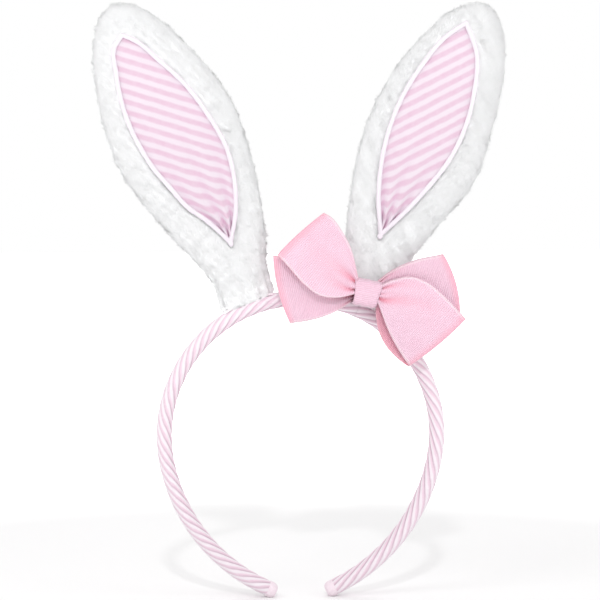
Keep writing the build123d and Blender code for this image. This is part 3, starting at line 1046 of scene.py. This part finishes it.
bowForm = {
    "knot": (28.2, 66.3),  # the knot's middle, mm
    "frontLayer": -16.3,
    "backLayer": -11.0,
    "rows": 90,
    "across": 36,
    "ribbonWidth": 0.032,  # m
    "cloth": 0.45,
    "leastGap": 0.3,  # a loop's two layers never come closer than this each side, mm
    "ridge": 2.0,
}
loopLooks = {  # each crease is its place across, width, depth, reach and drift
    "upper_left": {
        "high": [(-4.0, 5.8), (-5.0, 12.0), (-7.6, 21.0), (-11.6, 28.6), (-16.6, 35.0), (-19.4, 36.6)],
        "low": [(-4.6, 0.2), (-13.0, -1.7), (-22.0, -0.6), (-29.0, 4.6), (-35.2, 11.6), (-40.6, 17.6)],
        "foldBulge": (-0.6, 0.4), "layer": "frontLayer", "depth": 2.9, "behind": (0.0, 0.0),
        "creases": [(0.70, 0.08, 2.8, 0.44, -0.25), (0.25, 0.08, 2.4, 0.26, 0.3), (0.95, 0.06, 1.2, 0.16, 0)],
    },
    "lower_left": {
        "high": [(-4.7, 3.6), (-20.0, 13.0), (-42.0, 17.2)],
        "low": [(-5.6, -3.4), (-12.0, -7.6), (-20.0, -11.0), (-27.4, -12.8), (-34.3, -13.7)],
        "foldBulge": (-1.6, -0.4), "layer": "backLayer", "depth": 2.4, "behind": (0.0, 0.0),
        "creases": [(0.35, 0.10, 2.0, 0.25, 0), (0.75, 0.10, 2.0, 0.22, 0), (0.08, 0.06, 1.6, 0.2, 0)],
    },
    "upper_right": {
        "high": [(5.2, 4.4), (12.0, 9.6), (22.0, 14.2), (35.9, 17.3)],
        "low": [(4.3, -3.3), (24.0, -9.8), (43.8, -12.6)],
        "foldBulge": (2.2, 0.8), "layer": "backLayer", "depth": 2.4, "behind": (0.0, 0.0),
        "creases": [(0.65, 0.10, 2.0, 0.25, 0), (0.25, 0.10, 2.0, 0.22, 0), (0.93, 0.06, 1.6, 0.2, 0)],
    },
    "lower_right": {
        "high": [(4.8, 3.0), (13.0, 6.2), (20.0, 7.4), (27.0, 5.2), (35.0, -1.0), (45.7, -12.0)],
        "low": [(4.4, -2.8), (6.6, -8.6), (9.4, -16.2), (12.8, -23.0), (16.4, -28.8), (19.6, -33.4)],
        "foldBulge": (0.8, -0.6), "layer": "frontLayer", "depth": 2.9, "behind": (-3.0, -1.3),
        "creases": [(0.22, 0.08, 2.8, 0.44, 0.8), (0.78, 0.07, 2.2, 0.24, 0.2), (0.50, 0.06, 1.3, 0.14, 0.3)],
    },
}


def bowPlace(flat, y):
    return mm * np.stack([bowForm["knot"][0] + flat[..., 0], y, bowForm["knot"][1] + flat[..., 1]], -1)


def ribbonLoop(word):
    # out along the front, round the fold and back: a = |sin(pi tau)|^0.75 along the edges and
    # y = layer - sgn(cos) |cos|^0.45 gap, with gap = depth(a) + ridge - creases held above the least gap by
    # g + ln(1 + e^(4 (gap - g))) / 4; each crease runs from the knot as depth exp(-a / reach)
    # exp(-((v - place - drift a) / width)^2), and the hidden layer is set behind by an offset
    look, form = loopLooks[word], bowForm
    tau = np.linspace(0, 1, form["rows"])[:, None]
    v = np.linspace(0, 1, form["across"])[None]
    a = np.abs(np.sin(np.pi * tau)) ** 0.75 + 0 * v
    level = np.cos(np.pi * tau)
    side = np.sign(level) * np.abs(level) ** 0.45
    high, low = smoothLine(look["high"], a[:, 0]), smoothLine(look["low"], a[:, 0])
    flat = low[:, None] * (1 - v[..., None]) + high[:, None] * v[..., None]
    flat = flat + (4 * v * (1 - v) * a**3)[..., None] * np.array(look["foldBulge"])
    opened = look["depth"] * (0.22 + 0.78 * ease(a / 0.55)) * (1 - 0.25 * (2 * v - 1) ** 2 * a)
    crease = 0 * a
    for place, width, deep, reach, drift in look["creases"]:
        spread = width * (1 + 0.6 * a)
        crease = crease + deep * np.exp(-a / reach) * np.exp(-(((v - place - drift * a) / spread) ** 2))
    least = form["leastGap"]
    gap = opened + form["ridge"] * np.exp(-a / 0.3) - crease
    y = form[look["layer"]] - side * (least + np.log1p(np.exp(4 * (gap - least))) / 4)
    hidden = ease(-side) * 4 * a * (1.08 - a) * (1 - v) ** 2
    # painted shade: darker in the creases near the knot and round the fold's turn, and on the front layers
    # inside the loop where its back half shows
    fold = 0.5 * crease * np.exp(-a / 0.6) + 0.45 * ease((a - 0.9) / 0.1)
    if look["layer"] == "frontLayer":
        fold = fold + 0.6 * ease(-side * 2) * ease((0.45 - v) / 0.3) * ease(a / 0.2)
    flat = flat + hidden[..., None] * np.array(look["behind"])
    points = bowPlace(flat, y)
    middleRow = points[:, form["across"] // 2]
    run = np.concatenate([[0], np.cumsum(np.linalg.norm(np.diff(middleRow, axis=0), axis=1))])
    uv = np.stack(np.broadcast_arrays(run[:, None], v * form["ribbonWidth"]), -1)
    piece = gridPiece(f"ribbon_loop_{word}", points, uv, fold=fold, material=grosgrain, slotName="ribbon")
    finishWith(piece, "SOLIDIFY", thickness=form["cloth"] * mm, offset=0.0)
    print(f"  {word} loop: ribbon area {clothSize(points) * 1e6:.0f} mm2, length {run[-1] / mm:.0f} mm")
    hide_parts(f"bow_loop_{word}")
    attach(piece, "crown")


knotForm = {
    "tilt": 12.0,
    "topHalf": 6.6,
    "bottomHalf": 5.4,
    "halfHeight": 6.1,
    "corner": 0.5,
    "edge": 0.7,
    "rows": 72,
    "across": 30,
}


def knotWrap():
    # a strip folded round the gathered middle: rounded oblong path (y, up), edges turned in,
    # and two soft folds 0.12 cos(3 pi w) along it
    form = knotForm
    lowest, highest = (np.array(corner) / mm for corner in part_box("bow_knot"))
    around = np.linspace(0, 2 * np.pi, form["rows"] + 1)
    w = np.linspace(-1, 1, form["across"])
    tilt = np.radians(form["tilt"])
    sideways, up = np.array([np.cos(tilt), 0, -np.sin(tilt)]), np.array([np.sin(tilt), 0, np.cos(tilt)])
    c, s = np.cos(around), np.sin(around)
    halfDepth = (highest[1] - lowest[1]) / 2 + 0.1
    depthWay = halfDepth * np.sign(c) * np.abs(c) ** form["corner"]
    heightWay = form["halfHeight"] * np.sign(s) * np.abs(s) ** form["corner"]
    lift = -form["edge"] * np.abs(w) ** 6 + 0.12 * np.cos(3 * np.pi * w) * (1 - w**2)
    rise = heightWay / form["halfHeight"]
    width = form["bottomHalf"] + (form["topHalf"] - form["bottomHalf"]) * (rise + 1) / 2
    waist = 1 - 0.06 * (1 - rise**2)
    centre = np.array([bowForm["knot"][0], (lowest[1] + highest[1]) / 2, bowForm["knot"][1]])
    grow = 1 + lift[None] / form["halfHeight"]
    points = (
        centre
        + (width * waist)[:, None, None] * w[None, :, None] * sideways
        + (heightWay[:, None] * grow)[..., None] * up
        + (depthWay[:, None] * grow)[..., None] * towardsFront
    )
    perimeter = np.concatenate([[0], np.cumsum(np.hypot(np.diff(depthWay), np.diff(heightWay)))])
    uv = np.stack(np.broadcast_arrays(perimeter[:, None], 16 + 14.5 * w[None]), -1) * mm
    piece = gridPiece("ribbon_knot", points[:-1] * mm, uv, loop=True, material=grosgrain, slotName="ribbon")
    finishWith(piece, "SOLIDIFY", thickness=bowForm["cloth"] * mm, offset=0.0)
    print(f"  knot: ribbon area {clothSize(points * mm) * 1e6:.0f} mm2, length {perimeter[-1]:.0f} mm")
    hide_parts("bow_knot")
    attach(piece, "crown")


for word in loopLooks:
    ribbonLoop(word)
knotWrap()
print("bow tied")
